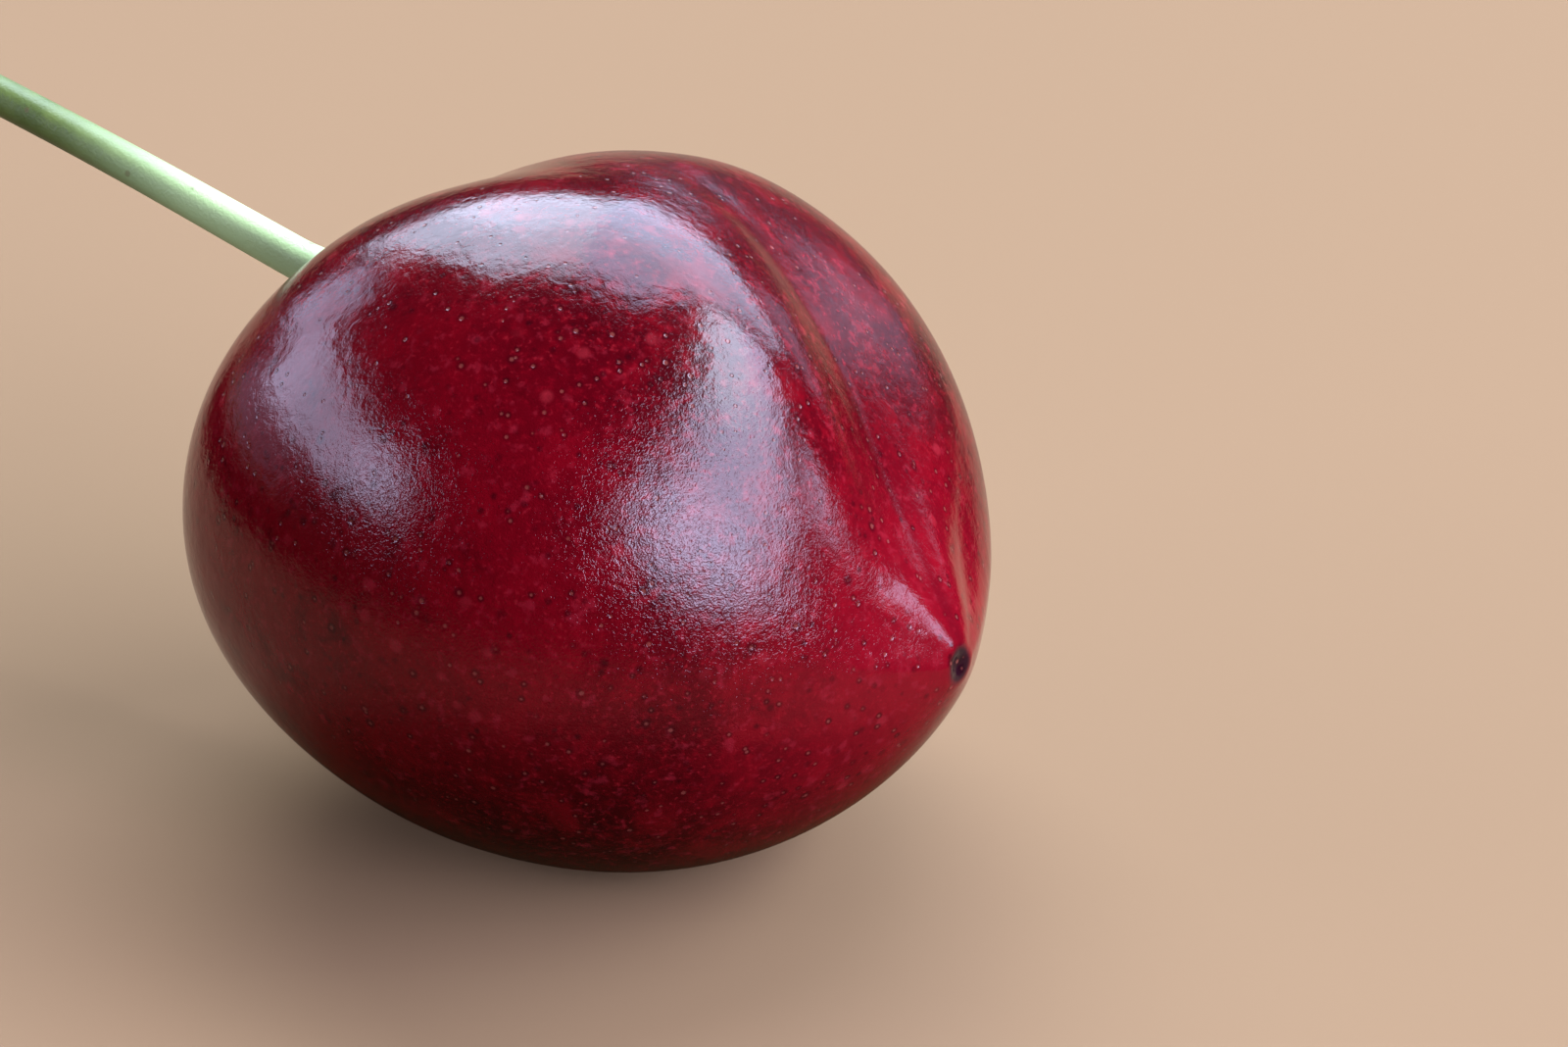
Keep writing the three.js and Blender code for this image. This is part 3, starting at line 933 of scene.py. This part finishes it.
# %% Soft boxes
BACK, RIGHT, LEFT = (28, 9, 0), (105, 20, 20), (-78, 17, 8)
panel("back_low_end", BACK, (-1.42, -1.0, 0.27, 0.6), 10.5, COOL_WHITE)
panel("back_low_left", BACK, (-1.0, -0.36, 0.27, 0.6), 17.0, COOL_WHITE)
panel("back_middle_end", BACK, (-1.56, -1.0, 0.6, 1.2), 16.0, COOL_WHITE)
panel("back_middle_left", BACK, (-1.0, -0.36, 0.6, 1.2), 24.0, COOL_WHITE)
panel("back_top_left", BACK, (-1.5, -0.36, 1.2, 2.1), 25.0, COOL_WHITE)
panel("back_low_right", BACK, (-0.36, 0.51, 0.19, 0.5), 14.0, COOL_BLUE)
panel("back_middle_right", BACK, (-0.36, 0.51, 0.5, 1.2), 19.5, COOL_BLUE)
panel("back_top_right", BACK, (-0.36, 0.48, 1.2, 2.1), 22.0)
panel("back_haze", BACK, (0.1, 0.42, -0.1, 0.1), 2.2)
panel("right_top", RIGHT, (-0.82, -0.1, 0.2, 0.5), 43.0, COOL_WHITE)
panel("right_middle", RIGHT, (-0.82, -0.1, 0.03, 0.2), 31.0)
panel("right_tip", RIGHT, (-0.39, -0.13, -0.27, -0.12), 22.0)
panel("right_side", RIGHT, (-0.1, 0.35, -0.04, 0.5), 35.0)
panel("right_end", RIGHT, (0.35, 0.6, -0.12, 0.6), 52.0)
panel("right_far", RIGHT, (0.6, 0.82, 0.1, 0.62), 50.0)
panel("left_far", LEFT, (-0.7, -0.3, -0.04, 0.19), 27.0)
panel("left_middle", LEFT, (-0.3, -0.05, -0.09, 0.18), 15.0)
panel("left_near", LEFT, (-0.05, 0.45, -0.07, 0.22), 12.0)
panel("left_join", LEFT, (0.45, 0.85, 0.04, 0.36), 7.0)
panel("left_haze", LEFT, (0.0, 0.7, -0.27, -0.07), 1.0)

# %% Dim room
ROOM_COLOUR = (0.9, 0.9, 1.0)
ROOM_BRIGHTNESS = 0.012
world = bpy.data.worlds.new("room")
world.use_nodes = True
room = world.node_tree.nodes["Background"]
room.inputs["Color"].default_value = with_alpha(ROOM_COLOUR)
room.inputs["Strength"].default_value = ROOM_BRIGHTNESS
bpy.context.scene.world = world
bpy.context.scene.view_settings.view_transform = "Standard"
print("the room's own brightness is", ROOM_BRIGHTNESS)

# %% [markdown]
# ## Camera
#
# A close-up lens looks down on the fruit, whose middle falls left of the picture's middle. The
# lens could be shifted to frame it so. Turning the camera is used here, as a hand would do it:
# it looks straight at the fruit first, and is then turned until the fruit is where it belongs.

# %% Camera
IMAGE_WIDTH, IMAGE_HEIGHT = 1600, 1068
FRUIT_IN_IMAGE = (624.6, 516.5)
VIEW_HEIGHT = math.radians(28)
SUBJECT_DISTANCE = 235
LENS, SENSOR = 174, 36
NEAREST_SEEN = 0.01

back = Vector((0, -math.cos(VIEW_HEIGHT), math.sin(VIEW_HEIGHT)))
up = Vector((0, math.sin(VIEW_HEIGHT), math.cos(VIEW_HEIGHT)))
straight = Matrix((Vector((1, 0, 0)), up, back)).transposed()
focal_pixels = LENS / SENSOR * IMAGE_WIDTH
sight = Vector(
    (
        (FRUIT_IN_IMAGE[0] - IMAGE_WIDTH / 2) / focal_pixels,
        (IMAGE_HEIGHT / 2 - FRUIT_IN_IMAGE[1]) / focal_pixels,
        -1,
    )
).normalized()
turn_to_fruit = (straight @ sight).rotation_difference(-back)
camera_data = bpy.data.cameras.new("camera")
camera_data.lens = LENS
camera_data.sensor_width = SENSOR
camera_data.clip_start = NEAREST_SEEN
camera = bpy.data.objects.new("camera", camera_data)
camera.location = (Vector(middle) + back * SUBJECT_DISTANCE) * MM
camera.rotation_mode = "QUATERNION"
camera.rotation_quaternion = turn_to_fruit @ straight.to_quaternion()
bpy.context.scene.collection.objects.link(camera)
bpy.context.scene.camera = camera
print("the camera is at", [round(value, 4) for value in camera.location])

# %% Sizes and finish
visual_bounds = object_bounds()
sizes = {"cad": cad_bounds, "visual": visual_bounds}
sizes = {name: [[float(value) for value in corner] for corner in pair] for name, pair in sizes.items()}
print("sizes", sizes)
